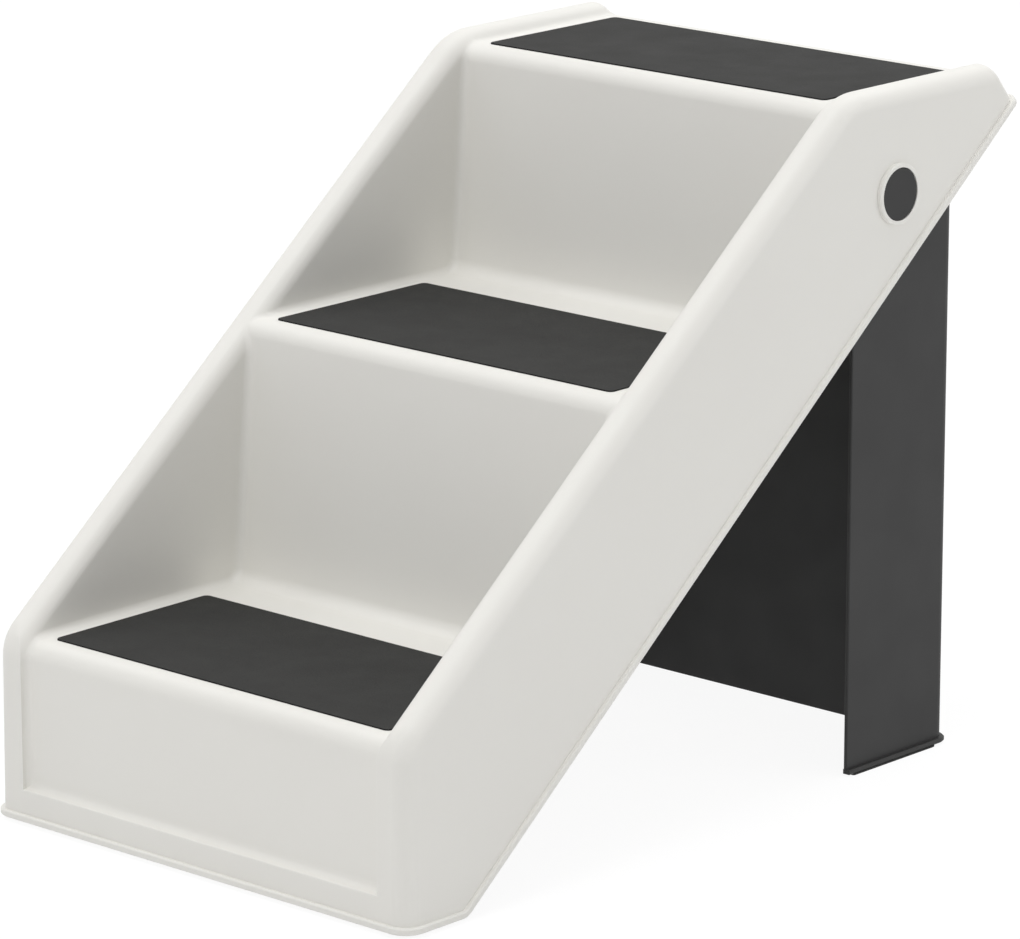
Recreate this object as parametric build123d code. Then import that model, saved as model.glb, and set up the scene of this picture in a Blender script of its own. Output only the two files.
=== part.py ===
from build123d import *
from math import cos, radians, sin, sqrt, tan
import os

# Pet stairs with three treads between two rounded stringers and a fold-away support leg.
# The steps face -Y, X runs across them, Z is up and the floor is z = 0. Lengths are in mm.
# While modelling, y starts at the front of the flange; place() centres the finished nodes.

# Overall sizes; the length runs to the rear corner of the flange before it is rounded
stair_width = 400.0
stair_length = 645.2
stair_height = 498.5
foot_height = 3.0
toe_run = 60.2
rear_drop = 27.7

# Moulded shell
wall = 3.0
stringer_width = 27.0
side_draft = 0.7
front_corner_radius = 32.0
shoulder_radius = 55.0
toe_radius = 12.0
outer_round = 13.0
inner_round = 12.0
rear_round = 6.0
cove_radius = 5.6
cove_land = 0.4
rear_allowance = 20.0
front_allowance = 30.0
underside_overrun = 40.0

# Flange round the bottom edge
flange_proud = 3.0
flange_thickness = 5.0
flange_edge_chamfer = 0.9
flange_front_radius = 16.0
flange_rear_radius = 8.0

# Steps, their riser feet a little above the slope; leans are in degrees
front_recess = 7.0
middle_riser_foot = 217.5
upper_tread_run = 197.7
middle_riser_cover = 2.5
upper_riser_cover = 6.7
top_cover = 8.8
nosing_cover = 2.2
riser_leans = (0.0, 4.8, 4.2)
nosing_radius = 13.0
riser_foot_radius = 11.0
rail_height = 26.0
rail_edge_radius = 1.0
rail_foot_radius = 6.0

# Ribs under the steps and cross walls inside the stringers
rib_thickness = 2.5
rib_pitch = 64.5
rib_depth = 24.0
rib_setback = 5.5
rib_corner_radius = 18.0
stop_reach = 16.0
stop_clearance = 0.3
brace_thickness = 2.5
brace_start_run = 150.0
brace_pitch = 120.0
rest_clearance = 0.4

# Tread mats
mat_side_gap = 11.0
lower_mat_front_gap = 3.0
lower_mat_rear_gap = 42.9
middle_mat_front_gap = 2.5
middle_mat_rear_gap = 44.7
upper_mat_front_gap = 1.2
upper_mat_rear_gap = 31.7
mat_thickness = 2.2
mat_recess = 1.2
mat_corner_radius = 4.0
mat_edge_chamfer = 0.4
mat_fit = 0.2

# Pivot on each side
pivot_setback = 135.7
pivot_cover = 47.4
collar_diameter = 44.0
collar_proud = 2.4
collar_rim_chamfer = 0.5
disc_diameter = 37.6
disc_thickness = 3.8
disc_recess = 0.4
disc_edge_chamfer = 0.5
disc_clearance = 0.3
barrel_diameter = 30.0
running_fit = 0.1
end_play = 0.3
spacer_thickness = 1.1
spacer_diameter = 40.0
key_flats = 20.0
key_length = 8.0
key_fit = 0.1
leg_boss_diameter = 36.0
leg_boss_depth = 6.0
washer_diameter = 24.0
washer_thickness = 1.5
washer_hole = 5.6
screw_diameter = 5.0
screw_length = 16.0
screw_head_diameter = 11.0
screw_head_height = 3.2
screw_head_chamfer = 0.9
socket_flats = 4.6
socket_depth = 1.6

# Support leg, placed from the pivot
leg_side_gap = 8.0
leg_wall = 3.0
leg_arm_radius = 34.5
leg_rear_offset = 79.5
leg_panel_rise = 19.4
leg_corner_radius = 10.0
leg_shoulder_rise = 10.0
leg_lip_proud = 3.5
leg_lip_thickness = 3.5
leg_lip_edge_chamfer = 0.9
leg_front_edge_radius = 1.2

# Rubber feet
foot_diameter = 16.0
foot_edge_chamfer = 0.8
foot_inset = 17.4
foot_boss_diameter = 24.0
foot_boss_height = 14.0
foot_stem_diameter = 7.0
foot_stem_length = 9.0
pad_width = 6.0
pad_thickness = 1.5
pad_setback = 2.8
pad_end_margin = 5.0
pad_corner_radius = 2.0
pad_edge_chamfer = 0.4

# Slope of the underside, from the toe to the rear corner
slope_rise = stair_height - rear_drop - foot_height
slope_length = sqrt((stair_length - toe_run) ** 2 + slope_rise**2)
rise = slope_rise / slope_length
run = (stair_length - toe_run) / slope_length

# Faces of the shell
front_face = flange_proud
rear_run = slope_length - flange_proud
side_face = stair_width / 2 - flange_proud
inner_face = side_face - stringer_width
rear_tip = stair_length - flange_edge_chamfer * min(run, rise)
riser_feet = (front_face + front_recess, middle_riser_foot, stair_length - upper_tread_run)

# Pivot and leg
pivot_y = stair_length - pivot_setback
pivot_z = foot_height + (pivot_cover + (pivot_y - toe_run) * rise) / run
leg_half_width = side_face - wall - leg_side_gap
leg_front = pivot_y - leg_arm_radius
leg_rear = pivot_y + leg_rear_offset
leg_panel_top = pivot_z + leg_panel_rise
disc_face = side_face + collar_proud - disc_recess
spacer_face = leg_half_width + spacer_thickness
boss_face = spacer_face + end_play
seat_face = disc_face - disc_thickness - end_play / 2
shank_start = leg_half_width - leg_wall - leg_boss_depth - washer_thickness


def slope_point(along, above):
    """Side-view point by its run along the underside slope and its height above it."""
    return (
        toe_run + along * run - above * rise,
        foot_height + along * rise + above * run,
    )


def slope_run(point):
    """Run of a point along the underside slope."""
    return (point.Y - toe_run) * run + (point.Z - foot_height) * rise


def slope_height(point):
    """Height of a point above the underside slope."""
    return (point.Z - foot_height) * run - (point.Y - toe_run) * rise


def height_at(y, above):
    """Level of the line a given height above the slope, at y."""
    return foot_height + (above + (y - toe_run) * rise) / run


tread_heights = (
    height_at(middle_riser_foot, middle_riser_cover),
    height_at(stair_length - upper_tread_run, upper_riser_cover),
    stair_height - top_cover,
)


def y_at(z, above):
    """Place of the line a given height above the slope, at level z."""
    return toe_run + ((z - foot_height) * run - above) / rise


def rear_point(z, run_length):
    """Point at level z on the rear face at a run along the slope."""
    return slope_point(run_length, (z - foot_height - run_length * rise) / run)


def side_prism(face, x_low, x_high):
    """Side-view face carried across the stairs from x_low to x_high."""
    return extrude(Pos(x_low, 0, 0) * (Plane.YZ.location * face), amount=x_high - x_low)


def bottom_points(drop, run_length):
    """Rear, toe and front corner of the underside, lowered by drop."""
    low = foot_height - drop
    return [
        slope_point(run_length, -drop),
        (y_at(low, -drop), low),
        (front_face, low),
    ]


def stringer_outline(drop, run_length, front, corner_radius):
    """Side view of a stringer between a front face and a rear face at the given run."""
    points = bottom_points(drop, run_length)[:2] + [
        (front, foot_height - drop),
        (front, height_at(front, stringer_depth)),
        (y_at(stair_height, stringer_depth), stair_height),
        rear_point(stair_height, run_length),
    ]
    radii = [0, toe_radius, 0, corner_radius, shoulder_radius, 0]
    return make_face(FilletPolyline(*points, radius=radii, close=True))


def riser_top(index):
    """Sharp corner where a riser meets its tread, as y and z."""
    low = tread_heights[index - 1] if index else foot_height
    lean = tan(radians(riser_leans[index]))
    return (riser_feet[index] + (tread_heights[index] - low) * lean, tread_heights[index])


def nosing_end(index):
    """Place where a nosing runs out into the flat of its tread."""
    return riser_top(index)[0] + nosing_radius * tan(radians(90 - riser_leans[index]) / 2)


def nosing_reach(index):
    """Greatest height of a nosing above the slope."""
    level = tread_heights[index] - nosing_radius - foot_height
    return nosing_radius + level * run - (nosing_end(index) - toe_run) * rise


def step_outline(drop, run_length):
    """Side view of the three steps, with leaning risers and rounded nosings."""
    points = bottom_points(drop, run_length)[:2] + [(riser_feet[0], foot_height - drop)]
    radii = [0, toe_radius, 0]
    for index, foot in enumerate(riser_feet):
        if index:
            points.append((foot, tread_heights[index - 1]))
            radii.append(riser_foot_radius)
        points.append(riser_top(index))
        radii.append(nosing_radius)
    points.append(rear_point(tread_heights[-1], run_length))
    radii.append(0)
    return make_face(FilletPolyline(*points, radius=radii, close=True))


stringer_depth = nosing_cover + max(nosing_reach(index) for index in range(len(riser_feet)))


def inset(face, amount):
    """Face shrunk by amount on all sides."""
    return offset(face, amount=-amount) if amount else face


def draft_wedge(depth):
    """Space inside the two side faces, which lean in as they rise from the slope."""
    reach = stair_width
    lean = reach * tan(radians(side_draft))
    width = side_face - depth
    section = Plane(origin=(0, toe_run, foot_height), x_dir=(1, 0, 0), z_dir=(0, -run, -rise))
    outline = Polyline(
        (-width - lean, -reach),
        (width + lean, -reach),
        (width - lean, reach),
        (lean - width, reach),
        close=True,
    )
    return extrude(section.location * make_face(outline), amount=2 * slope_length, both=True)


def long_top_edge(body, depth, side):
    """Straight edge along a stringer's sloping top, the inner one for 0 and the outer for 1."""
    top = stringer_depth - depth
    edges = [e for e in body.edges() if abs(slope_height(e @ 0.5) - top) < wall / 2]
    edges = sorted(edges, key=lambda e: -e.length)[:2]
    return sorted(edges, key=lambda e: (e @ 0.5).X)[side]


def stringer(depth, drop, run_length):
    """Right stringer, inset by depth; its inner rounding ends in a crisp front edge."""
    front = front_face - front_allowance
    outline = inset(stringer_outline(drop, run_length, front, 0), depth)
    body = side_prism(outline, inner_face + depth, stair_width / 2) & draft_wedge(depth)
    body = fillet([long_top_edge(body, depth, 0)], inner_round - depth)
    outline = inset(stringer_outline(drop, run_length, front_face, front_corner_radius), depth)
    body = body & side_prism(outline, 0, stair_width)
    return fillet([long_top_edge(body, depth, 1)], outer_round - depth)


def riser_side_edges(body):
    """Straight edges where the middle riser meets the two stringers."""
    low, high = tread_heights[0] + nosing_radius, tread_heights[1] - nosing_radius
    found = []
    for edge in body.edges():
        middle = edge @ 0.5
        if riser_feet[1] < middle.Y < riser_top(1)[0] and low < middle.Z < high:
            if edge.length > (high - low) / 2:
                found.append(edge)
    return found


def stair_form(depth, drop):
    """Steps between the stringers, coved where they meet, cut off behind, inset by depth."""
    long_run = rear_run + rear_allowance
    half = inner_face + stringer_width / 2
    steps = side_prism(inset(step_outline(drop, long_run), depth), -half, half)
    right = stringer(depth, drop, long_run)
    body = steps + right + mirror(right, about=Plane.YZ)
    body = fillet(riser_side_edges(body), min(cove_radius + depth, front_recess - cove_land))
    return body & side_prism(inset(cut_outline(drop), depth), -stair_width, stair_width)


def cut_outline(drop):
    """Side view of the space ahead of the rear face."""
    points = bottom_points(drop, rear_run) + [
        (front_face, 2 * stair_height),
        rear_point(2 * stair_height, rear_run),
    ]
    return make_face(Polyline(*points, close=True))


def bottom_rail():
    """Rail that closes the front below the recessed first riser, coved where they meet."""
    back = riser_feet[0] + wall
    points = [
        (front_face, foot_height),
        (front_face, rail_height),
        (riser_feet[0], rail_height),
        (riser_feet[0], rail_height + 2 * rail_foot_radius),
        (back, rail_height + 2 * rail_foot_radius),
        (back, foot_height),
    ]
    radii = [0, rail_edge_radius, rail_foot_radius, 0, 0, 0]
    half = inner_face + stringer_width / 2
    return side_prism(make_face(FilletPolyline(*points, radius=radii, close=True)), -half, half)


def flange():
    """Flange along the front, the toe, the slope and the rear, with softened edges."""
    half = stair_width / 2
    corner = (y_at(foot_height + flange_thickness, flange_thickness), foot_height + flange_thickness)
    points = [
        (0, foot_height),
        (0, foot_height + flange_thickness),
        corner,
        slope_point(slope_length, flange_thickness),
        slope_point(slope_length, 0),
        (toe_run, foot_height),
    ]
    radii = [0, 0, toe_radius - flange_thickness, 0, 0, toe_radius]
    body = side_prism(make_face(FilletPolyline(*points, radius=radii, close=True)), -half, half)
    front = [e for e in body.edges() if (e @ 0.5).Y < flange_edge_chamfer and e.length < half]
    body = fillet(front, flange_front_radius)
    rear = [e for e in body.edges() if slope_run(e @ 0.5) > rear_run and e.length < half]
    rear = [e for e in rear if slope_run(e @ 0) > rear_run and slope_run(e @ 1) > rear_run]
    body = fillet(rear, flange_rear_radius)
    front = [e for e in body.edges() if (e @ 0.5).Y < flange_edge_chamfer and e.length > half]
    return chamfer(front, flange_edge_chamfer)


def collar(side):
    """Raised ring round the pivot on the outside of the wall, side is 1 or -1."""
    ring = Cylinder(collar_diameter / 2, wall + collar_proud, rotation=(0, 90, 0))
    middle = side_face + (collar_proud - wall) / 2
    return Pos(side * middle, pivot_y, pivot_z) * ring


def rear_edges(body):
    """Edges of the rear face without its bottom edge."""
    face = max(body.faces(), key=lambda f: slope_run(f.center()))
    return [e for e in face.edges() if slope_height(e @ 0.5) > flange_edge_chamfer]


def circle_edges(body, radius, x):
    """Round edges about the pivot with a given radius near a given x, on both sides."""
    found = []
    for edge in body.edges():
        middle = edge.bounding_box().center()
        off_axis = sqrt((middle.Y - pivot_y) ** 2 + (middle.Z - pivot_z) ** 2)
        wide = edge.bounding_box().size.Y
        if off_axis < wall / 2 and abs(abs(middle.X) - x) < wall / 2:
            if abs(wide - 2 * radius) < wall / 2:
                found.append(edge)
    return found


def outer_body():
    """Outside of the shell as one solid: steps, stringers, rail, flange and collars."""
    body = stair_form(0, 0)
    body = fillet(rear_edges(body), rear_round)
    body = body + bottom_rail() + collar(1) + collar(-1)
    rim = circle_edges(body, collar_diameter / 2, side_face + collar_proud)
    body = chamfer(rim, collar_rim_chamfer)
    return body + flange()


def rib_pocket(index):
    """Side view of the space that a rib leaves open under one step."""
    low = tread_heights[index - 1] if index else foot_height
    lean = tan(radians(riser_leans[index]))
    level = tread_heights[index] - wall - rib_depth
    back = riser_feet[index] + wall + rib_depth
    points = [
        (back - underside_overrun * lean, low - underside_overrun),
        (back + (level - low) * lean, level),
        (y_at(level, -underside_overrun), level),
    ]
    return make_face(FilletPolyline(*points, radius=[0, rib_corner_radius, 0], close=True))


def rib_outline():
    """Side view of a rib: it follows risers and treads, and stops the leg's panel behind."""
    steps = step_outline(underside_overrun, rear_run + rear_allowance)
    whole = inset(steps, wall / 2) & inset(cut_outline(wall / 2 - rib_setback), wall / 2)
    band = whole
    for index in range(len(riser_feet)):
        band = band - rib_pocket(index)
    front, low = leg_rear - leg_wall - stop_reach, leg_panel_top + stop_clearance
    behind = Pos(front + stair_length / 2, low + stair_height / 2) * Rectangle(stair_length, stair_height)
    return band + (whole & behind)


def long_ribs():
    """Ribs under the steps in the direction of travel, evenly spaced from the middle."""
    outline = rib_outline()
    count = int(inner_face // rib_pitch)
    places = [index * rib_pitch for index in range(-count, count + 1)]
    return [side_prism(outline, x - rib_thickness / 2, x + rib_thickness / 2) for x in places]


def leg_rest_height():
    """Height above the slope at which the folded leg's front edges come to rest."""
    return pivot_cover + leg_arm_radius + rest_clearance


def stringer_braces():
    """Cross walls inside both stringers, which the folded leg's front edges rest on."""
    low = leg_rest_height()
    braces = []
    count = int((rear_run - brace_start_run) // brace_pitch)
    for index in range(count):
        along = brace_start_run + index * brace_pitch
        points = [
            slope_point(along, low),
            slope_point(along + brace_thickness, low),
            slope_point(along + brace_thickness, stringer_depth),
            slope_point(along, stringer_depth),
        ]
        face = make_face(Polyline(*points, close=True))
        if slope_point(along, low)[0] < pivot_y - spacer_diameter:
            braces.append(side_prism(face, inner_face, side_face))
            braces.append(side_prism(face, -side_face, -inner_face))
    return braces


def foot_place(side):
    """Centre of a front foot at the underside of the flange."""
    return Pos(side * (stair_width / 2 - foot_inset), foot_inset, foot_height)


def upright_tube(diameter, height):
    """Upright solid cylinder on the origin."""
    return Cylinder(diameter / 2, height, align=(Align.CENTER, Align.CENTER, Align.MIN))


def foot_stem(side):
    """Stem of a rubber foot, and the blind hole that takes it."""
    return foot_place(side) * upright_tube(foot_stem_diameter, foot_stem_length)


def pivot_tube(radius, x_low, x_high, side):
    """Solid cylinder about the pivot between two distances from the middle."""
    tube = Cylinder(radius, x_high - x_low, rotation=(0, 90, 0))
    return Pos(side * (x_low + x_high) / 2, pivot_y, pivot_z) * tube


def hollow():
    """Space under the shell, less the ribs, braces and bosses that stay in it."""
    space = stair_form(wall, underside_overrun)
    keep = long_ribs() + stringer_braces()
    for side in (1, -1):
        keep.append(foot_place(side) * upright_tube(foot_boss_diameter, foot_boss_height))
        keep.append(pivot_tube(collar_diameter / 2, boss_face, side_face, side))
    for body in keep:
        space = space - body
    return space


mat_ends = (
    (nosing_end(0) + lower_mat_front_gap, riser_feet[1] - lower_mat_rear_gap),
    (nosing_end(1) + middle_mat_front_gap, riser_feet[2] - middle_mat_rear_gap),
    (nosing_end(2) + upper_mat_front_gap, stair_length - upper_mat_rear_gap),
)


def mat_block(index, thickness, extra):
    """Slab in a mat's outline, widened by extra on all sides, upwards from the recess floor."""
    front, rear = mat_ends[index]
    width = 2 * (inner_face - mat_side_gap + extra)
    outline = RectangleRounded(width, rear - front + 2 * extra, mat_corner_radius + extra)
    level = tread_heights[index] - mat_recess
    return extrude(Pos(0, (front + rear) / 2, level) * outline, amount=thickness)


def stair_shell():
    """Whole moulded shell, with seats for mats, rubber feet and hubs."""
    body = outer_body() - hollow()
    for index in range(len(tread_heights)):
        body = body - mat_block(index, 2 * mat_recess, mat_fit)
    for side in (1, -1):
        body = body - foot_stem(side)
        body = body - pivot_tube(barrel_diameter / 2 + running_fit, leg_half_width, stair_width, side)
        body = body - pivot_tube(disc_diameter / 2 + disc_clearance, seat_face, stair_width, side)
    return body


def tread_mat(index):
    """Anti-slip mat with a softened top edge."""
    body = mat_block(index, mat_thickness, 0)
    return chamfer(body.faces().sort_by(Axis.Z)[-1].edges(), mat_edge_chamfer)


def leg_channel(reach, thickness, high):
    """Upright U-shaped wall, open to the front, whose outside stands reach outside the leg."""
    half, rear, radius = leg_half_width + reach, leg_rear + reach, leg_corner_radius + reach
    length = rear - leg_front
    outer = Pos(0, leg_front + length / 2) * Rectangle(2 * half, length)
    outer = fillet(outer.vertices().group_by(Axis.Y)[-1], radius)
    length = length - thickness
    inner = Pos(0, leg_front + length / 2) * Rectangle(2 * (half - thickness), length)
    inner = fillet(inner.vertices().group_by(Axis.Y)[-1], radius - thickness)
    return extrude(Pos(0, 0, pad_thickness) * (outer - inner), amount=high - pad_thickness)


def lip_edges(lip):
    """Upper and lower outside edges of the lip, without its two front ends."""
    found = []
    for edge in lip.edges():
        middle = edge @ 0.5
        outside = max(abs(middle.X) - leg_half_width, middle.Y - leg_rear) > -leg_wall / 2
        level = abs((edge @ 0).Z - (edge @ 1).Z) < leg_wall / 2
        if outside and level and middle.Y > leg_front + leg_wall:
            found.append(edge)
    return found


def leg_side_outline():
    """Side view of the leg: arms rounded about the pivot, a shoulder and the back panel."""
    top = (pivot_y, pivot_z + leg_arm_radius)
    arm_rear = pivot_y + leg_arm_radius
    arc = ThreePointArc((leg_front, pivot_z), top, (arm_rear, pivot_z))
    rest = Polyline(
        (arm_rear, pivot_z),
        (arm_rear, leg_panel_top - leg_shoulder_rise),
        (leg_rear - leg_corner_radius, leg_panel_top),
        (leg_rear + leg_corner_radius, leg_panel_top),
        (leg_rear + leg_corner_radius, pad_thickness),
        (leg_front, pad_thickness),
        (leg_front, pivot_z),
    )
    return make_face(arc + rest)


def support_leg():
    """U-shaped leg: two side panels, back panel, bottom lip and keyed pivot bosses."""
    body = leg_channel(0, leg_wall, pivot_z + leg_arm_radius)
    ends = body.edges().filter_by(Axis.Z).group_by(Axis.Y)[0]
    body = fillet(ends, leg_front_edge_radius)
    lip = leg_channel(leg_lip_proud, leg_lip_proud + leg_wall, pad_thickness + leg_lip_thickness)
    body = body + chamfer(lip_edges(lip), leg_lip_edge_chamfer)
    body = body & side_prism(leg_side_outline(), -stair_width, stair_width)
    low = leg_half_width - leg_wall - leg_boss_depth
    for side in (1, -1):
        body = body + pivot_tube(leg_boss_diameter / 2, low, leg_half_width - leg_wall / 2, side)
        body = body - hexagon_bar(key_flats + 2 * key_fit, 0, leg_half_width + leg_wall, side)
    return body


def hexagon_bar(flats, x_low, x_high, side):
    """Hexagonal bar about the pivot between two distances from the middle."""
    outline = RegularPolygon(flats / 2, 6, major_radius=False)
    bar = extrude(Plane.YZ.location * outline, amount=x_high - x_low)
    return Pos(x_low if side > 0 else -x_high, pivot_y, pivot_z) * bar


def pivot_hub(side):
    """Disc, barrel and hexagonal key in one piece, with a hole for the screw."""
    disc_low = disc_face - disc_thickness
    disc = pivot_tube(disc_diameter / 2, disc_low, disc_face, side)
    disc = chamfer(circle_edges(disc, disc_diameter / 2, disc_face), disc_edge_chamfer)
    body = disc + pivot_tube(barrel_diameter / 2, leg_half_width, disc_low, side)
    body = body + hexagon_bar(key_flats, leg_half_width - key_length, leg_half_width, side)
    return body - pivot_tube(screw_diameter / 2, 0, shank_start + screw_length, side)


def pivot_spacer(side):
    """Ring between the leg and the shell."""
    body = pivot_tube(spacer_diameter / 2, leg_half_width, spacer_face, side)
    return body - pivot_tube(barrel_diameter / 2 + running_fit, 0, stair_width, side)


def hub_washer(side):
    """Flat washer under the screw head."""
    body = pivot_tube(washer_diameter / 2, shank_start, shank_start + washer_thickness, side)
    return body - pivot_tube(washer_hole / 2, 0, stair_width, side)


def hub_screw(side):
    """Screw with a chamfered head and a hexagonal socket, driven from inside the leg."""
    head_end = shank_start - screw_head_height
    head = pivot_tube(screw_head_diameter / 2, head_end, shank_start, side)
    head = chamfer(circle_edges(head, screw_head_diameter / 2, head_end), screw_head_chamfer)
    shank = pivot_tube(screw_diameter / 2, shank_start, shank_start + screw_length, side)
    return head + shank - hexagon_bar(socket_flats, head_end, head_end + socket_depth, side)


def front_foot(side):
    """Round rubber foot with a stem."""
    foot = upright_tube(foot_diameter, foot_height)
    foot = chamfer(foot.edges().group_by(Axis.Z)[0], foot_edge_chamfer)
    return foot_place(side) * Pos(0, 0, -foot_height) * foot + foot_stem(side)


def leg_foot(side):
    """Rubber strip under a side panel of the leg."""
    length = leg_rear - leg_corner_radius - leg_front - 2 * pad_end_margin
    strip = Box(pad_width, length, pad_thickness, align=(Align.CENTER, Align.MIN, Align.MIN))
    strip = fillet(strip.edges().filter_by(Axis.Z), pad_corner_radius)
    strip = chamfer(strip.edges().group_by(Axis.Z)[0], pad_edge_chamfer)
    x = leg_half_width - pad_setback + pad_width / 2
    return Pos(side * x, leg_front + pad_end_margin, 0) * strip


def place(body):
    """Node moved so that the origin is under the middle of the stairs."""
    return Pos(0, -rear_tip / 2, 0) * body


nodes = {
    "stair_shell": stair_shell(),
    "tread_mat_lower": tread_mat(0),
    "tread_mat_middle": tread_mat(1),
    "tread_mat_upper": tread_mat(2),
    "support_leg": support_leg(),
    "pivot_hub_right": pivot_hub(1),
    "pivot_hub_left": pivot_hub(-1),
    "pivot_spacer_right": pivot_spacer(1),
    "pivot_spacer_left": pivot_spacer(-1),
    "hub_washers": Compound(children=[hub_washer(1), hub_washer(-1)]),
    "hub_screws": Compound(children=[hub_screw(1), hub_screw(-1)]),
    "front_foot_right": front_foot(1),
    "front_foot_left": front_foot(-1),
    "leg_foot_right": leg_foot(1),
    "leg_foot_left": leg_foot(-1),
}

os.makedirs("parts", exist_ok=True)
for name, body in nodes.items():
    export_step(place(body), os.path.join("parts", name + ".step"))
    print(name, round(body.volume), body.is_valid)
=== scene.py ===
# %% [markdown]
# # Pet stairs
# A one-piece moulded stair with three treads, dark anti-slip mats, and a dark support
# leg that swings on two hubs. The construction model comes in as a fixed frame, in
# metres. This file gives it finishes, light and a camera, and grows the tread mats and
# the hub screws from rules. Its box is measured first.

# %% Load the model
from math import cos, pi, radians, sin

import bmesh
import bpy
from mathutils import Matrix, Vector


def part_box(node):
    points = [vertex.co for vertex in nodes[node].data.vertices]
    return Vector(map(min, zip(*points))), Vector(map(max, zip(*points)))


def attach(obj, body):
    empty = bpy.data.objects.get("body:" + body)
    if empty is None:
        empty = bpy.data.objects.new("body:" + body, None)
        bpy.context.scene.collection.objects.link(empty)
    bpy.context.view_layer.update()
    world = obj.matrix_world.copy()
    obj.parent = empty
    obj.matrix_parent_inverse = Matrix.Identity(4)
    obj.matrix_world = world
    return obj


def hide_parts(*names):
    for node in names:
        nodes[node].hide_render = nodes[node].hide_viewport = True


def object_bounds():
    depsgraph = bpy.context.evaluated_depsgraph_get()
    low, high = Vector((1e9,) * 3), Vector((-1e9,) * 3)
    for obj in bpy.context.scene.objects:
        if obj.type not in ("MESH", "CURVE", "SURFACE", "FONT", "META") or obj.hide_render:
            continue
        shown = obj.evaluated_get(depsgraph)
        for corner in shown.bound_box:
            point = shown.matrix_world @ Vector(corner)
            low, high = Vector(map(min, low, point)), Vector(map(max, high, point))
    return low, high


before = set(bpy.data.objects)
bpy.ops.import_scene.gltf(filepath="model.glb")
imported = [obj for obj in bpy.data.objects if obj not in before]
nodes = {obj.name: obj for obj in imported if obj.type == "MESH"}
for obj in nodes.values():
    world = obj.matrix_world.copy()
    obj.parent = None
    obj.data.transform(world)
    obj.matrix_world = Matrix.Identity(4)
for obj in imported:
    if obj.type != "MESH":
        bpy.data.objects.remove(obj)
cad_box = [list(corner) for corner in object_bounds()]
scene = bpy.context.scene
print("nodes:", len(nodes), "box:", cad_box)

# %% [markdown]
# ## Two helpers
# Colours are chosen as sRGB hex values, as a colour picker shows them, but shaders work
# in linear values, so one function converts them all. Node trees could be drawn by hand
# in the editor. Here a second function adds any node with its settings and its links,
# so every tree below reads as a short list that can be run again.

# %% Helpers for colours and nodes
WHITE = "#FFFFFF"


def linear(code):
    """Linear RGBA from an sRGB hex code."""
    channels = [int(code[i:i + 2], 16) / 255 for i in (1, 3, 5)]
    return [c / 12.92 if c <= 0.04045 else ((c + 0.055) / 1.055) ** 2.4 for c in channels] + [1.0]


def add(tree, kind, settings=None, **links):
    """Adds a node; settings are its properties, links its inputs as values or sockets.

    An input is named by its title with _ for spaces, or by its place as i0, i1, i2.
    """
    node = tree.nodes.new(kind)
    for key, value in (settings or {}).items():
        setattr(node, key, value)
    for key, value in links.items():
        place = int(key[1:]) if key[0] == "i" and key[1:].isdigit() else key.replace("_", " ")
        socket = node.inputs[place]
        if isinstance(value, bpy.types.NodeSocket):
            tree.links.new(value, socket)
        else:
            socket.default_value = value
    return node


print("helpers ready")

# %% [markdown]
# ## Camera
# A product photo is taken from far away with a long lens, so the verticals stay almost
# upright and the far side hardly shrinks. A camera could be placed by eye. This one comes
# from lining up the model's corners with the photographed ones, which also settled the
# real proportions. It stands at the front right, and its distance is counted from the
# model's front.

# %% Camera
SENSOR_MM = 36.0
LENS_MM = 209.15
CAMERA_ELEVATION = 14.81
CAMERA_AZIMUTH = 42.21
CAMERA_RIGHT, CAMERA_BEFORE, CAMERA_HEIGHT = 2.7293, 2.6877, 1.2988
VIEW_REACH = 50.0
half_length = cad_box[1][1]
camera_data = bpy.data.cameras.new("product_camera")
camera_data.sensor_width = SENSOR_MM
camera_data.lens = LENS_MM
camera_data.clip_end = VIEW_REACH
camera = bpy.data.objects.new("product_camera", camera_data)
camera.location = (CAMERA_RIGHT, -CAMERA_BEFORE - half_length, CAMERA_HEIGHT)
camera.rotation_euler = (radians(90 - CAMERA_ELEVATION), 0.0, radians(CAMERA_AZIMUTH))
scene.collection.objects.link(camera)
scene.camera = camera
scene.view_settings.view_transform = "Standard"
print("camera at", tuple(round(v, 3) for v in camera.location))

# %% [markdown]
# ## World
# The studio is a white tent: light comes from all of the upper half, most of it from
# straight above. A plain white world would be simpler, but it lights the risers as much
# as the treads and washes the shape out. So the strength grows with height, and what the
# camera and the reflections see is plain white, set through the Light Path node. The
# background then stays white without more light on the object.


# %% Helpers for light
def remap(tree, value, from_low, from_high, to_low, to_high):
    """Moves a value from one range into another and holds it inside."""
    return add(tree, "ShaderNodeMapRange", Value=value, i1=from_low, i2=from_high,
               i3=to_low, i4=to_high).outputs["Result"]


def seen_directly(tree):
    """1 for what the camera, a reflection or a clear piece shows, 0 for light rays."""
    path = add(tree, "ShaderNodeLightPath").outputs
    clamped = {"operation": "ADD", "use_clamp": True}
    seen = add(tree, "ShaderNodeMath", clamped, i0=path["Is Camera Ray"], i1=path["Is Glossy Ray"])
    seen = add(tree, "ShaderNodeMath", clamped, i0=seen.outputs[0], i1=path["Is Transmission Ray"])
    return seen.outputs[0]


print("light helpers ready")

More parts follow.
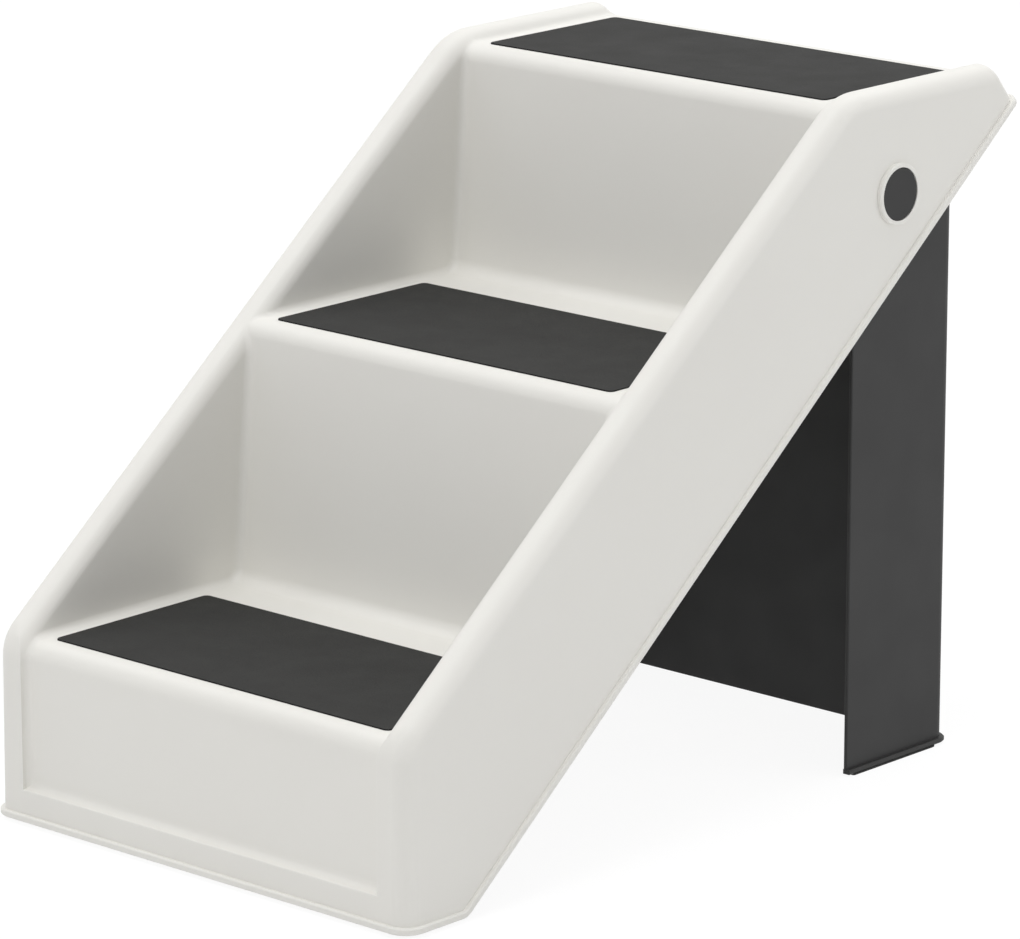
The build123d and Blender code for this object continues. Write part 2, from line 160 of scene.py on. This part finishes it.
# %% World
SKY_AT_HORIZON = 0.0
SKY_OVERHEAD = 0.95
world = bpy.data.worlds.new("studio_tent")
scene.world = world
world.use_nodes = True
tree = world.node_tree
tree.nodes.clear()
direction = add(tree, "ShaderNodeTexCoord").outputs["Generated"]
height = add(tree, "ShaderNodeSeparateXYZ", Vector=direction).outputs["Z"]
sky = remap(tree, height, 0.0, 1.0, SKY_AT_HORIZON, SKY_OVERHEAD)
tent = add(tree, "ShaderNodeBackground", Color=linear(WHITE), Strength=sky)
plain = add(tree, "ShaderNodeBackground", Color=linear(WHITE), Strength=1.0)
mix = add(tree, "ShaderNodeMixShader", i0=seen_directly(tree), i1=tent.outputs[0],
          i2=plain.outputs[0])
add(tree, "ShaderNodeOutputWorld", Surface=mix.outputs[0])
print("world ready, overhead strength", SKY_OVERHEAD)

# %% [markdown]
# ## Floor
# A sheet of white paper carries the object. Light that bounces off it brightens the
# lower faces, so it has a real paper colour for those rays. A paper lit to pure white
# would need so much light that the pale shell burns out. For the camera its own glow
# lifts the sheet to white instead, and the small diffuse share keeps the shadow.

# %% Floor
FLOOR_REACH = 14.0
PAPER_TINT = "#F0F0F0"
SHADOW_SHARE = 0.12
FLOOR_GLOW = 0.92


def new_material(name):
    """Empty node material, its tree and its output node."""
    material = bpy.data.materials.new(name)
    material.use_nodes = True
    material.node_tree.nodes.clear()
    output = material.node_tree.nodes.new("ShaderNodeOutputMaterial")
    return material, material.node_tree, output


floor_mesh = bpy.data.meshes.new("paper_floor")
corners = [(-1, -1), (1, -1), (1, 1), (-1, 1)]
floor_mesh.from_pydata([(x * FLOOR_REACH, y * FLOOR_REACH, 0) for x, y in corners], [],
                       [(0, 1, 2, 3)])
floor = bpy.data.objects.new("paper_floor", floor_mesh)
scene.collection.objects.link(floor)
paper, tree, output = new_material("white_paper_sweep")
bounce = add(tree, "ShaderNodeBsdfDiffuse", Color=linear(PAPER_TINT))
shade = add(tree, "ShaderNodeBsdfDiffuse", Color=[SHADOW_SHARE] * 3 + [1.0])
glow = add(tree, "ShaderNodeEmission", Color=linear(WHITE), Strength=FLOOR_GLOW)
lit = add(tree, "ShaderNodeAddShader", i0=shade.outputs[0], i1=glow.outputs[0])
mix = add(tree, "ShaderNodeMixShader", i0=seen_directly(tree), i1=bounce.outputs[0],
          i2=lit.outputs[0])
tree.links.new(mix.outputs[0], output.inputs["Surface"])
floor.data.materials.append(paper)
print("floor ready")

# %% [markdown]
# ## Lamps
# Five large soft boxes stand round the tent. One sun would be enough for light, but it
# draws hard shadows that the photo doesn't have. The high box lights the treads and the
# rounded nosings, so these come out lighter than the risers, and the one behind adds a
# faint sheen on the mats. The front one fills the risers, and the two side ones shape
# the stringers. Their powers were fitted to the shades in the photo.

# %% Lamps
soft_boxes = (  # name, place in metres, side in metres, power in watts
    ("high_soft_box", (0.0, -0.6, 4.0), 1.6, 35.0),
    ("rear_soft_box", (0.0, 2.0, 3.0), 1.5, 15.0),
    ("left_soft_box", (-2.2, -0.4, 2.6), 1.4, 8.0),
    ("front_soft_box", (0.3, -3.2, 1.5), 1.8, 17.5),
    ("right_soft_box", (2.8, 1.6, 1.0), 1.4, 18.0),
)
for name, place, side, power in soft_boxes:
    lamp = bpy.data.lights.new(name, "AREA")
    lamp.shape = "SQUARE"
    lamp.size = side
    lamp.energy = power
    lamp_object = bpy.data.objects.new(name, lamp)
    lamp_object.location = place
    aim = Vector((0.0, 0.0, half_length)) - Vector(place)
    lamp_object.rotation_euler = aim.to_track_quat("-Z", "Y").to_euler()
    scene.collection.objects.link(lamp_object)
print("soft boxes:", len(soft_boxes))

# %% [markdown]
# ## Shared detail of the finishes
# Every moulded piece shows the same few things from close by: a colour that drifts a
# little, a grain left by the spark-eroded tool, gloss that changes in broad patches, and
# corners polished by wear and painted lighter as a highlight. Photographed textures would
# tie the finishes to one size. Each effect is a small function on a node tree instead,
# whose patterns are scaled from real millimetres and read Object coordinates, so they stay
# on the piece.

# %% Detail functions
MM = 0.001
NOISE_MIDDLE = (0.3, 0.7)
FLAT_TO_CORNER = (0.995, 0.9)
HIGHLIGHT_AND_WEAR_PATCH_MM = 30.0
HIGHLIGHT_AND_WEAR_LEAST = 0.55


def calc(tree, operation, *values):
    """One step of arithmetic on numbers or sockets."""
    links = {f"i{place}": value for place, value in enumerate(values)}
    return add(tree, "ShaderNodeMath", {"operation": operation}, **links).outputs[0]


def vector_calc(tree, operation, *values):
    """One step of arithmetic on vectors or sockets; returns the node."""
    links = {f"i{place}": value for place, value in enumerate(values)}
    return add(tree, "ShaderNodeVectorMath", {"operation": operation}, **links)


def noise(tree, size_mm, detail):
    """Noise whose blobs are about this many millimetres wide, fixed to the piece."""
    place = add(tree, "ShaderNodeTexCoord").outputs["Object"]
    return add(tree, "ShaderNodeTexNoise", Vector=place, Scale=1 / (size_mm * MM),
               Detail=detail).outputs["Fac"]


def spread(tree, value, low, high):
    """Noise stretched over its useful middle and turned into the range low to high."""
    return remap(tree, value, *NOISE_MIDDLE, low, high)


# Mask of narrow corners: the finishes paint them lighter as a highlight and polish them as wear.
def edge_highlight_and_wear(tree, width_mm):
    """Near 1 on corners narrower than this width, in uneven patches, 0 elsewhere.

    The Bevel node's normal turns away from the surface only close to a corner, so the
    two normals agree on flats and differ on corners, where the painted highlight and the
    wear polish go.
    """
    softened = add(tree, "ShaderNodeBevel", {"samples": 4}, Radius=width_mm * MM).outputs[0]
    own = add(tree, "ShaderNodeNewGeometry").outputs["Normal"]
    agree = vector_calc(tree, "DOT_PRODUCT", softened, own).outputs["Value"]
    corner = remap(tree, agree, *FLAT_TO_CORNER, 0.0, 1.0)
    uneven = spread(tree, noise(tree, HIGHLIGHT_AND_WEAR_PATCH_MM, detail=2.0), HIGHLIGHT_AND_WEAR_LEAST, 1.0)
    return calc(tree, "MULTIPLY", corner, uneven)


def blend(tree, factor, first, second):
    """Colour between two colours or colour sockets."""
    mix = add(tree, "ShaderNodeMix", {"data_type": "RGBA"}, i0=factor, i6=first, i7=second)
    return mix.outputs["Result"]


def bump(tree, height, height_mm, settings=None):
    """Normal of a surface raised by a height pattern."""
    return add(tree, "ShaderNodeBump", settings, Strength=1.0, Distance=height_mm * MM,
               Height=height).outputs["Normal"]


def finished(material, tree, output, **inputs):
    """Puts a Principled shader with these inputs into a new material."""
    shader = add(tree, "ShaderNodeBsdfPrincipled", **inputs)
    tree.links.new(shader.outputs[0], output.inputs["Surface"])
    return material


print("detail functions ready")

# %% [markdown]
# ## Moulded plastics
# The shell is satin polypropylene in a warm off-white, the leg the same plastic with a
# charcoal masterbatch. The hubs are nylon, a little glossier, and the spacer rings are
# unpainted acetal. Polypropylene has an IOR of about 1.49, nylon 1.53 and acetal 1.48.
# One flat colour per piece would look like paint, so all four come from one function with
# drift, gloss patches, grain, wear polish on the corners and a painted highlight that
# lightens them. A dull dark moulding reflects less than a polished one, because its grain
# traps light, so the dark ones have a lower specular level. A real tool grain is some
# 0.2 mm wide. It is drawn at 1 mm or more, because a finer one would be lost between the
# pixels.

# %% Moulded plastics
DRIFT_MM = 140.0
GLOSS_PATCH_MM = 45.0
HIGHLIGHT_AND_WEAR_WIDTH_MM = 1.4
WEAR_POLISH = -0.1


def moulded_plastic(name, tints, edge_highlight_tint, roughness, ior, specular, grain_mm, grain_height_mm):
    """Moulded plastic: drifting colour, grain, wear polish and painted highlight on corners."""
    material, tree, output = new_material(name)
    highlit_and_worn = edge_highlight_and_wear(tree, HIGHLIGHT_AND_WEAR_WIDTH_MM)
    drift = blend(tree, noise(tree, DRIFT_MM, detail=2.0), linear(tints[0]), linear(tints[1]))
    gloss = noise(tree, GLOSS_PATCH_MM, detail=4.0)
    patches = spread(tree, gloss, roughness - 0.04, roughness + 0.05)
    # Corners take the lighter tint as a painted highlight; their lower roughness is wear polish.
    return finished(
        material, tree, output,
        Base_Color=blend(tree, highlit_and_worn, drift, linear(edge_highlight_tint)),
        Roughness=calc(tree, "MULTIPLY_ADD", highlit_and_worn, WEAR_POLISH, patches),
        IOR=ior,
        Specular_IOR_Level=specular,
        Normal=bump(tree, noise(tree, grain_mm, detail=3.0), grain_height_mm))


# Satin off-white: soft wide highlights on the nosings, hardly any mirror.
shell_finish = moulded_plastic(
    "satin_polypropylene_off_white", ("#ECEBE6", "#E9E7E2"), "#EFEEEA",
    roughness=0.46, ior=1.49, specular=0.42, grain_mm=1.6, grain_height_mm=0.012)
# Matt charcoal: an even dark panel whose edges are painted a little lighter as highlight.
leg_finish = moulded_plastic(
    "matt_polypropylene_charcoal", ("#323232", "#303030"), "#3B3B3B",
    roughness=0.55, ior=1.49, specular=0.33, grain_mm=1.2, grain_height_mm=0.02)
# Charcoal nylon: the round discs, a touch glossier than the leg.
hub_finish = moulded_plastic(
    "moulded_nylon_charcoal", ("#2A2A2A", "#282828"), "#363636",
    roughness=0.5, ior=1.53, specular=0.27, grain_mm=1.0, grain_height_mm=0.015)
# Natural acetal: milky pale rings between leg and wall.
spacer_finish = moulded_plastic(
    "natural_acetal", ("#DAD8D0", "#D4D2CA"), "#E2E0D9",
    roughness=0.4, ior=1.48, specular=0.5, grain_mm=1.2, grain_height_mm=0.008)
print("plastics:", shell_finish.name, leg_finish.name, hub_finish.name, spacer_finish.name)

# %% [markdown]
# ## Rubber
# The tread mats are dense foam rubber with a fine pebbled skin that paws grip, and the
# feet are solid black rubber. Rubber is close to IOR 1.52 and its skin is dull. The pits
# between the pebbles are painted darker than their tops as shade. The pebbles could be
# modelled one by one, but there are tens of thousands, so a Voronoi pattern draws them as
# bump and colour. Faces that turn sideways, the sides of each mat and foot, are painted
# nearly black as shade, which draws the thin dark line round each mat.

# %% Rubbers
RUBBER_IOR = 1.52
PEBBLE_TOP_TO_PIT = (0.2, 0.8)
PEBBLE_ROUNDNESS = 0.6
DUST_PATCH_MM = 60.0
DUST_MOST = 0.25
SIDE_TO_TOP = (0.2, 0.9)
SHEEN_PATCH_MM = 30.0
SHEEN_SWING = 0.05


def pebbled_rubber(name, tints, roughness, specular, pebble_mm, pebble_height_mm):
    """Matt rubber; tints: pebble tops, pits in painted shade, dust, sides in painted shade."""
    material, tree, output = new_material(name)
    top, pit_shade, dust, side_shade = (linear(tint) for tint in tints)
    place = add(tree, "ShaderNodeTexCoord").outputs["Object"]
    pebbles = add(tree, "ShaderNodeTexVoronoi", {"feature": "SMOOTH_F1"}, Vector=place,
                  Scale=1 / (pebble_mm * MM), Smoothness=PEBBLE_ROUNDNESS).outputs["Distance"]
    # The pits between the pebbles get the darker tint: painted shade.
    skin = blend(tree, remap(tree, pebbles, *PEBBLE_TOP_TO_PIT, 0.0, 1.0), top, pit_shade)
    dusty = spread(tree, noise(tree, DUST_PATCH_MM, detail=4.0), 0.0, DUST_MOST)
    skin = blend(tree, dusty, skin, dust)
    normal = add(tree, "ShaderNodeNewGeometry").outputs["Normal"]
    upward = add(tree, "ShaderNodeSeparateXYZ", Vector=normal).outputs["Z"]
    sheen = noise(tree, SHEEN_PATCH_MM, detail=3.0)
    # Faces that turn sideways get the nearly black last tint: painted shade.
    return finished(
        material, tree, output,
        Base_Color=blend(tree, remap(tree, upward, *SIDE_TO_TOP, 0.0, 1.0), side_shade, skin),
        Roughness=spread(tree, sheen, roughness - SHEEN_SWING, roughness + SHEEN_SWING),
        IOR=RUBBER_IOR,
        Specular_IOR_Level=specular,
        Normal=bump(tree, pebbles, pebble_height_mm, {"invert": True}))


# Mats: deep even charcoal with a fine grip pattern and almost no sheen.
mat_finish = pebbled_rubber(
    "anti_slip_rubber_charcoal", ("#363635", "#2E2E2D", "#3C3C3B", "#161616"),
    roughness=0.8, specular=0.17, pebble_mm=0.9, pebble_height_mm=0.05)
# Feet: a little darker and smoother, pressed in a mould.
foot_finish = pebbled_rubber(
    "black_rubber", ("#2C2C2C", "#262626", "#343434", "#242424"),
    roughness=0.75, specular=0.35, pebble_mm=1.2, pebble_height_mm=0.02)
print("rubbers:", mat_finish.name, foot_finish.name)

# %% [markdown]
# ## Zinc-plated steel
# Screws and washers are mild steel with a bright zinc coat. The coat grows in small
# crystals, which give patches of slightly different shine, and fine rubbing in the
# plating drum leaves it a little rough. Noise would make soft clouds, and crystals have
# straight borders, so Voronoi cells draw them. A metal keeps the shader's own IOR.

# %% Zinc-plated steel
CRYSTAL_MM = 1.5
RUBBING_MM = 0.6
RUBBING_HEIGHT_MM = 0.003
STEEL_ROUGHNESS = (0.26, 0.38)
material, tree, output = new_material("zinc_plated_steel")
place = add(tree, "ShaderNodeTexCoord").outputs["Object"]
crystals = add(tree, "ShaderNodeTexVoronoi", Vector=place, Scale=1 / (CRYSTAL_MM * MM))
shine = add(tree, "ShaderNodeSeparateColor", Color=crystals.outputs["Color"]).outputs[0]
steel_finish = finished(
    material, tree, output,
    Base_Color=blend(tree, shine, linear("#C3C6CA"), linear("#B4B7BC")),
    Metallic=1.0,
    Roughness=remap(tree, shine, 0.0, 1.0, *STEEL_ROUGHNESS),
    Normal=bump(tree, noise(tree, RUBBING_MM, detail=3.0), RUBBING_HEIGHT_MM))
print("metal:", steel_finish.name)

# %% [markdown]
# ## Dressing the construction nodes
# The construction shapes are already right for the shell, the leg, the hubs and the
# small parts. They could be modelled again in Blender, but that would only add errors, so
# each keeps its mesh and gets the finish of its real material.

# %% Finish of each construction node
finish_of = {
    "stair_shell": shell_finish,
    "support_leg": leg_finish,
    "pivot_hub_right": hub_finish,
    "pivot_hub_left": hub_finish,
    "pivot_spacer_right": spacer_finish,
    "pivot_spacer_left": spacer_finish,
    "hub_washers": steel_finish,
    "front_foot_right": foot_finish,
    "front_foot_left": foot_finish,
    "leg_foot_right": foot_finish,
    "leg_foot_left": foot_finish,
}
for name, finish in finish_of.items():
    mesh_object = nodes[name]
    if not mesh_object.material_slots:
        mesh_object.data.materials.append(finish)
    for slot in mesh_object.material_slots:
        slot.material = finish
print("dressed nodes:", len(finish_of))

# %% [markdown]
# ## Smooth shading
# The real mouldings have even curves, but the construction mesh is loose triangles with
# flat faces. Subdivision would round every edge. A small node tree on each node keeps the
# shape instead: it welds the triangles, shades them smooth and keeps edges sharper than
# 32 degrees crisp. A Weighted Normal modifier then lets the large flat faces stay flat
# next to their rounded edges.

# %% Helpers for geometry trees
WELD_MM = 0.002
CRISP_ANGLE = 32.0


def new_tree(name, wanted):
    """Geometry tree with named inputs; returns it with the sockets of its input node."""
    tree = bpy.data.node_groups.new(name, "GeometryNodeTree")
    for title, kind in wanted:
        tree.interface.new_socket(title, in_out="INPUT", socket_type="NodeSocket" + kind)
    tree.interface.new_socket("Geometry", in_out="OUTPUT", socket_type="NodeSocketGeometry")
    return tree, add(tree, "NodeGroupInput").outputs


def welded(tree, mesh):
    """Merges points that lie on each other."""
    merged = add(tree, "GeometryNodeMergeByDistance", Geometry=mesh, Distance=WELD_MM * MM)
    return merged.outputs[0]


def crisp_shading(tree, mesh):
    """Smooth shading that keeps edges sharper than the crisp angle."""
    faces = add(tree, "GeometryNodeSetShadeSmooth", {"domain": "FACE"}, i0=mesh, i2=True)
    angle = add(tree, "GeometryNodeInputMeshEdgeAngle").outputs["Unsigned Angle"]
    soft = add(tree, "FunctionNodeCompare", {"data_type": "FLOAT", "operation": "LESS_EQUAL"},
               i0=angle, i1=radians(CRISP_ANGLE))
    return add(tree, "GeometryNodeSetShadeSmooth", {"domain": "EDGE"}, i0=faces.outputs[0],
               i2=soft.outputs[0]).outputs[0]


def keep_flats(piece):
    """Lets large flat faces stay flat next to their rounded edges."""
    piece.modifiers.new("flat_faces_stay_flat", "WEIGHTED_NORMAL").keep_sharp = True


print("geometry helpers ready")

# %% Welding and smoothing
smooth_tree, given = new_tree("weld_and_smooth", [("Geometry", "Geometry")])
smoothed = crisp_shading(smooth_tree, welded(smooth_tree, given["Geometry"]))
add(smooth_tree, "NodeGroupOutput", i0=smoothed)
for name in finish_of:
    nodes[name].modifiers.new("weld_and_smooth", "NODES").node_group = smooth_tree
    keep_flats(nodes[name])
print("smoothed nodes:", len(finish_of))

# %% [markdown]
# ## Shapes that grow from a rule
# A cut mat and a cold-formed screw head have one thing in common: each is an outline
# pushed up in small steps, and every new rim gets its own outline. Both could be drawn
# point by point, but then a new size means new points. In a geometry tree the steps are
# nodes and the sizes are inputs. These helpers say the shared steps once.


# %% Helpers for pushed shapes
def pushed(tree, shape, rise, rim):
    """Pushes the top face up by a rise, then moves its new rim by a position field."""
    mesh, top = shape
    lifted = add(tree, "GeometryNodeExtrudeMesh", {"mode": "FACES"}, Mesh=mesh, Selection=top,
                 Offset=(0.0, 0.0, 1.0), Offset_Scale=rise, Individual=False)
    moved = add(tree, "GeometryNodeSetPosition", Geometry=lifted.outputs["Mesh"],
                Selection=lifted.outputs["Top"], Position=rim)
    return moved.outputs[0], lifted.outputs["Top"]


def quarter_steps(count):
    """Pairs of angles, each one step further round a quarter turn."""
    turns = [step / count * pi / 2 for step in range(count + 1)]
    return list(zip(turns, turns[1:]))


def joined(tree, *parts):
    """Several geometries as one."""
    whole = add(tree, "GeometryNodeJoinGeometry")
    for part in parts:
        tree.links.new(part, whole.inputs[0])
    return whole.outputs[0]


def closed(tree, mesh, sheet):
    """Closes a pushed-up shape with its own outline sheet, turned over."""
    below = add(tree, "GeometryNodeFlipFaces", Mesh=sheet).outputs[0]
    return welded(tree, joined(tree, mesh, below))


def handed_out(tree, geometry, material):
    """Last nodes of a tree: instances made real, finish set, geometry handed out."""
    real = add(tree, "GeometryNodeRealizeInstances", Geometry=geometry)
    covered = add(tree, "GeometryNodeSetMaterial", Geometry=real.outputs[0], Material=material)
    add(tree, "NodeGroupOutput", i0=covered.outputs[0])


print("helpers for pushed shapes ready")

# %% [markdown]
# ## Tread mats
# Each tread carries a mat cut from one sheet of rubber: a rectangle with small rounded
# corners, its top edge softened by the cut. A box with a Bevel modifier would do for one.
# The three differ only in size, so one tree makes them all: a filleted rectangle is
# filled, raised to the mat's thickness, and its top is then raised and drawn in along a
# quarter circle.

# %% Node tree of a mat
EDGE_STEPS = 4
CORNER_STEPS = 6
mat_tree, given = new_tree("tread_mat", [
    ("Width", "Float"),
    ("Depth", "Float"),
    ("Thickness", "Float"),
    ("Corner Radius", "Float"),
    ("Edge Softness", "Float"),
    ("Foot Centre", "Vector"),
    ("Material", "Material"),
])
width, depth, softness = given["Width"], given["Depth"], given["Edge Softness"]
outline = add(mat_tree, "GeometryNodeCurvePrimitiveQuadrilateral", Width=width, Height=depth)
rounded = add(mat_tree, "GeometryNodeFilletCurve", {"mode": "POLY"}, Curve=outline.outputs[0],
              Count=CORNER_STEPS, Radius=given["Corner Radius"], Limit_Radius=True)
filled = add(mat_tree, "GeometryNodeFillCurve", {"mode": "NGONS"}, Curve=rounded.outputs[0])
sheet = filled.outputs[0]
full = add(mat_tree, "ShaderNodeCombineXYZ", X=width, Y=depth, Z=1.0).outputs[0]
draw = add(mat_tree, "ShaderNodeCombineXYZ", X=softness, Y=softness).outputs[0]
here = add(mat_tree, "GeometryNodeInputPosition").outputs[0]
wall = calc(mat_tree, "SUBTRACT", given["Thickness"], softness)
shape = pushed(mat_tree, (sheet, True), wall, here)
span = full
for before, turn in quarter_steps(EDGE_STEPS):
    drawn_in = [-2 * (1 - cos(turn))] * 3
    narrower = vector_calc(mat_tree, "MULTIPLY_ADD", draw, drawn_in, full).outputs[0]
    shrink = vector_calc(mat_tree, "DIVIDE", narrower, span).outputs[0]
    rise = calc(mat_tree, "MULTIPLY", softness, sin(turn) - sin(before))
    rim = vector_calc(mat_tree, "MULTIPLY", here, shrink).outputs[0]
    shape = pushed(mat_tree, shape, rise, rim)
    span = narrower
solid = crisp_shading(mat_tree, closed(mat_tree, shape[0], sheet))
placed = add(mat_tree, "GeometryNodeTransform", Geometry=solid, Translation=given["Foot Centre"])
handed_out(mat_tree, placed.outputs[0], given["Material"])
print("mat tree nodes:", len(mat_tree.nodes))

# %% [markdown]
# ## From a tree to a plain mesh
# A tree left on an object would run again in every file that uses the part. So it runs
# once on an empty seed object, and its result is kept as a plain mesh at the origin. The
# enclosed volume is measured too: a positive one shows that the shape is closed the right
# way round.


# %% A plain mesh from a node tree
def made_by(tree, name, inputs):
    """Runs a node tree with these inputs and returns a plain mesh object at the origin."""
    seed = bpy.data.objects.new(name + "_seed", bpy.data.meshes.new(name + "_seed"))
    scene.collection.objects.link(seed)
    modifier = seed.modifiers.new("grow", "NODES")
    modifier.node_group = tree
    for item in tree.interface.items_tree:
        if item.in_out == "INPUT":
            modifier[item.identifier] = inputs[item.name]
    grown = seed.evaluated_get(bpy.context.evaluated_depsgraph_get())
    mesh = bpy.data.meshes.new_from_object(grown)
    mesh.name = name
    bpy.data.objects.remove(seed)
    piece = bpy.data.objects.new(name, mesh)
    scene.collection.objects.link(piece)
    return piece


def enclosed_ml(mesh):
    """Volume inside a mesh in millilitres, positive when its normals face out."""
    solid = bmesh.new()
    solid.from_mesh(mesh)
    volume = solid.calc_volume(signed=True)
    solid.free()
    return round(volume * 1e6, 3)


print("mesh maker ready")

# %% [markdown]
# ## The three mats
# Width, depth and thickness come from the construction mats, which stay hidden for the
# collisions. The corner radius and the softened edge are what a cutting die leaves.

# %% Three mats
MAT_CORNER_MM = 4.0
MAT_SOFTNESS_MM = 0.3
for tread in ("lower", "middle", "upper"):
    node_name = "tread_mat_" + tread
    low, high = (Vector(corner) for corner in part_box(node_name))
    size = high - low
    mat = made_by(mat_tree, node_name + "_sheet", {
        "Width": size.x,
        "Depth": size.y,
        "Thickness": size.z,
        "Corner Radius": MAT_CORNER_MM * MM,
        "Edge Softness": MAT_SOFTNESS_MM * MM,
        "Foot Centre": ((low.x + high.x) / 2, (low.y + high.y) / 2, low.z),
        "Material": mat_finish,
    })
    keep_flats(mat)
    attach(mat, "stairs")
    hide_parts(node_name)
    print(mat.name, len(mat.data.polygons), "faces,", enclosed_ml(mat.data), "ml")

# %% [markdown]
# ## Hub screws: the head
# A button-head screw with a hexagon socket draws each hub onto the leg. A head could be
# turned from a profile and its socket cut with a Boolean, which leaves ragged faces. This
# one is a disc pushed up along an ellipse, in the order in which a real head is cold
# formed.

# %% Node tree of the screws
HEAD_CORNERS = 24
DOME_STEPS = 5
HEAD_WALL_SHARE = 0.3
HEAD_FLAT_SHARE = 0.62
screw_tree, given = new_tree("hub_screw_pair", [
    ("Head Diameter", "Float"),
    ("Head Height", "Float"),
    ("Socket Width", "Float"),
    ("Shank Diameter", "Float"),
    ("Shank Length", "Float"),
    ("Right Seat", "Vector"),
    ("Left Seat", "Vector"),
    ("Material", "Material"),
])


def of_head(share):
    """A share of the head's height."""
    return calc(screw_tree, "MULTIPLY", given["Head Height"], share)


def dome_width(turn):
    """Share of the head's full width at this angle of its dome."""
    return HEAD_FLAT_SHARE + (1 - HEAD_FLAT_SHARE) * cos(turn)


head_radius = calc(screw_tree, "MULTIPLY", given["Head Diameter"], 0.5)
disc = add(screw_tree, "GeometryNodeMeshCircle", {"fill_type": "NGON"}, Vertices=HEAD_CORNERS,
           Radius=head_radius).outputs[0]
here = add(screw_tree, "GeometryNodeInputPosition").outputs[0]
shape = pushed(screw_tree, (disc, True), of_head(HEAD_WALL_SHARE), here)
for before, turn in quarter_steps(DOME_STEPS):
    rise = of_head((1 - HEAD_WALL_SHARE) * (sin(turn) - sin(before)))
    shrink = dome_width(turn) / dome_width(before)
    rim = vector_calc(screw_tree, "MULTIPLY", here, (shrink, shrink, 1.0)).outputs[0]
    shape = pushed(screw_tree, shape, rise, rim)
print("dome steps:", DOME_STEPS)

# %% [markdown]
# ## Hub screws: the socket
# The key's hexagon is pressed into the dome. The last rim of the dome has 24 corners, four
# for each side of a hexagon, so nothing has to be cut: the rim is moved along its own
# directions onto the hexagon and pushed down. In each sixth of a turn the side lies at
# half the key's width, divided by the cosine of the angle from its middle.

# %% The hexagon socket
SOCKET_DEPTH_SHARE = 0.6
along = add(screw_tree, "ShaderNodeSeparateXYZ", Vector=here).outputs
heading = calc(screw_tree, "ARCTAN2", along["Y"], along["X"])
in_sixth = calc(screw_tree, "FLOORED_MODULO", heading, pi / 3)
off_middle = calc(screw_tree, "SUBTRACT", in_sixth, pi / 6)
half_width = calc(screw_tree, "MULTIPLY", given["Socket Width"], 0.5)
reach = calc(screw_tree, "DIVIDE", half_width, calc(screw_tree, "COSINE", off_middle))
rim_x = calc(screw_tree, "MULTIPLY", reach, calc(screw_tree, "COSINE", heading))
rim_y = calc(screw_tree, "MULTIPLY", reach, calc(screw_tree, "SINE", heading))
hexagon = add(screw_tree, "ShaderNodeCombineXYZ", X=rim_x, Y=rim_y, Z=along["Z"]).outputs[0]
shape = pushed(screw_tree, shape, 0.0, hexagon)
shape = pushed(screw_tree, shape, of_head(-SOCKET_DEPTH_SHARE), here)
head = closed(screw_tree, shape[0], disc)
print("socket depth share:", SOCKET_DEPTH_SHARE)

# %% [markdown]
# ## Hub screws: shank and pair
# Both screws are the same, so one is made along Z. It could be copied by hand, but two
# instances on the ends of a line through the pivots can't drift apart. Each is turned a
# quarter about Y, one each way, so that its head faces the middle of the leg.

# %% Shank, instances and finish of the screws
SHANK_OVERLAP = 0.5 * MM
SHANK_SIDES = 16
shank_radius = calc(screw_tree, "MULTIPLY", given["Shank Diameter"], 0.5)
shank_depth = calc(screw_tree, "ADD", given["Shank Length"], SHANK_OVERLAP)
rod = add(screw_tree, "GeometryNodeMeshCylinder", Vertices=SHANK_SIDES, Radius=shank_radius,
          Depth=shank_depth).outputs[0]
middle = calc(screw_tree, "MULTIPLY_ADD", shank_depth, -0.5, SHANK_OVERLAP)
drop = add(screw_tree, "ShaderNodeCombineXYZ", Z=middle).outputs[0]
shank = add(screw_tree, "GeometryNodeTransform", Geometry=rod, Translation=drop).outputs[0]
screw = crisp_shading(screw_tree, joined(screw_tree, head, shank))
seats = add(screw_tree, "GeometryNodeMeshLine", {"mode": "END_POINTS"}, Count=2,
            Start_Location=given["Right Seat"], i3=given["Left Seat"]).outputs[0]
index = add(screw_tree, "GeometryNodeInputIndex").outputs[0]
quarter = calc(screw_tree, "MULTIPLY_ADD", index, pi, -pi / 2)
angles = add(screw_tree, "ShaderNodeCombineXYZ", Y=quarter).outputs[0]
turned = add(screw_tree, "FunctionNodeEulerToRotation", i0=angles).outputs[0]
pair = add(screw_tree, "GeometryNodeInstanceOnPoints", Points=seats, Instance=screw,
           Rotation=turned)
handed_out(screw_tree, pair.outputs[0], given["Material"])
print("screw tree nodes:", len(screw_tree.nodes))

# %% [markdown]
# ## The two screws
# They are the usual 5 mm screw for plastic, 16 mm long under the head, and take a 4 mm
# key. Their places and the head's diameter come from the construction screws.

# %% Two screws
SHANK_LENGTH = 16.0 * MM
low, high = (Vector(corner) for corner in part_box("hub_screws"))
pivot_y, pivot_z = (low.y + high.y) / 2, (low.z + high.z) / 2
seat_x = high.x - SHANK_LENGTH
screws = made_by(screw_tree, "hub_screws_button_head", {
    "Head Diameter": high.z - low.z,
    "Head Height": 3.2 * MM,
    "Socket Width": 4.0 * MM,
    "Shank Diameter": 5.0 * MM,
    "Shank Length": SHANK_LENGTH,
    "Right Seat": (seat_x, pivot_y, pivot_z),
    "Left Seat": (-seat_x, pivot_y, pivot_z),
    "Material": steel_finish,
})
keep_flats(screws)
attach(screws, "leg")
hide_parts("hub_screws")
print(screws.name, len(screws.data.polygons), "faces,", enclosed_ml(screws.data), "ml")
